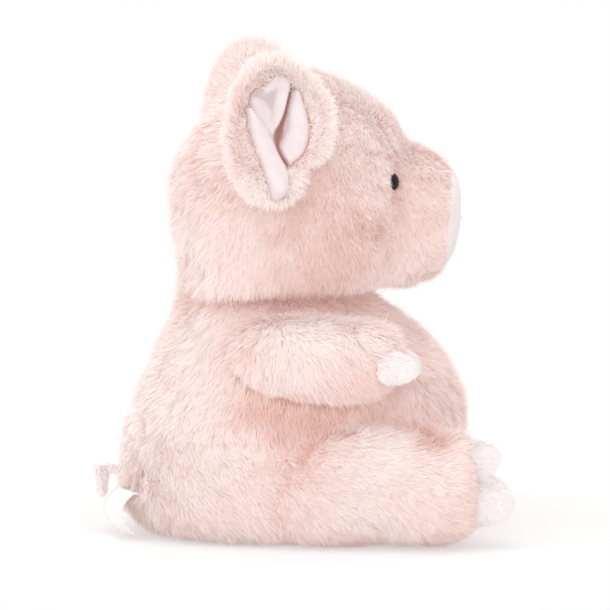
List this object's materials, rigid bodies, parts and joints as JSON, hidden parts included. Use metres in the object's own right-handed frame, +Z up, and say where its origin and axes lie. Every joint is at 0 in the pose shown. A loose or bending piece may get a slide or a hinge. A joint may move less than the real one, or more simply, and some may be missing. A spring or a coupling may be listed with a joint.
{
  "type": "plush pig",
  "caption": "Seated stuffed pig in pale pink long-pile fur with a domed snout, lined ears, arms held out, legs forward, stuffed trotters and a curled tail.",
  "frame": {"origin": "on the floor, under the middle of the pig's length and width", "axes": "+X the way the pig faces, +Y its left, +Z up"},
  "size_m": [0.2022, 0.178, 0.2409],
  "materials": {
    "fur": "long soft pile, matt",
    "velour": "short velour, matt",
    "trotter_plush": "short plush, matt",
    "stuffing": "loose fibre",
    "pellet_cloth": "plain weave",
    "eye_plastic": "polished",
    "washer_plastic": "moulded",
    "satin": "smooth woven strip"
  },
  "bodies": {
    "torso": {"torso_skin": "fur", "torso_fill": "stuffing", "pellet_bag": "pellet_cloth", "seam_label": "satin"},
    "head": {"head_skin": "fur", "head_fill": "stuffing", "snout_skin": "fur", "nose_pad": "velour", "eye_left": "eye_plastic", "eye_right": "eye_plastic", "eye_washer_left": "washer_plastic", "eye_washer_right": "washer_plastic"},
    "tail": {"tail": "velour"},
    "ear_left": {"ear_back_left": "fur", "ear_lining_left": "velour"},
    "arm_left": {"arm_skin_left": "fur", "arm_fill_left": "stuffing", "hand_trotter_left": "trotter_plush"},
    "leg_left": {"leg_skin_left": "fur", "leg_fill_left": "stuffing", "foot_trotter_left": "trotter_plush"},
    "ear_right": {"ear_back_right": "fur", "ear_lining_right": "velour"},
    "arm_right": {"arm_skin_right": "fur", "arm_fill_right": "stuffing", "hand_trotter_right": "trotter_plush"},
    "leg_right": {"leg_skin_right": "fur", "leg_fill_right": "stuffing", "foot_trotter_right": "trotter_plush"}
  },
  "joints": [
    {"name": "head_turn", "type": "hinge", "parent": "torso", "child": "head", "pos_m": [-0.01185, 0, 0.1222], "axis": [0, 0, 1], "range_deg": [-30, 30]},
    {"name": "tail_wag", "type": "hinge", "parent": "torso", "child": "tail", "pos_m": [-0.08845, 0, 0.032], "axis": [0, 0, 1], "range_deg": [-15, 15], "stiffness_Nm_per_rad": 0.002},
    {"name": "ear_left_fold", "type": "hinge", "parent": "head", "child": "ear_left", "pos_m": [-0.01545, 0.063, 0.168], "axis": [-1, 0, 0], "range_deg": [0, 25], "stiffness_Nm_per_rad": 0.05},
    {"name": "arm_left_spread", "type": "hinge", "parent": "torso", "child": "arm_left", "pos_m": [-0.03845, 0.045, 0.096], "axis": [0, 0, 1], "range_deg": [0, 40]},
    {"name": "leg_left_splay", "type": "hinge", "parent": "torso", "child": "leg_left", "pos_m": [-0.02945, 0.044, 0.0295], "axis": [0, 0, 1], "range_deg": [0, 30]},
    {"name": "ear_right_fold", "type": "hinge", "parent": "head", "child": "ear_right", "pos_m": [-0.01545, -0.063, 0.168], "axis": [1, 0, 0], "range_deg": [0, 25], "stiffness_Nm_per_rad": 0.05},
    {"name": "arm_right_spread", "type": "hinge", "parent": "torso", "child": "arm_right", "pos_m": [-0.03845, -0.045, 0.096], "axis": [0, 0, -1], "range_deg": [0, 40]},
    {"name": "leg_right_splay", "type": "hinge", "parent": "torso", "child": "leg_right", "pos_m": [-0.02945, -0.044, 0.0295], "axis": [0, 0, -1], "range_deg": [0, 30]}
  ]
}
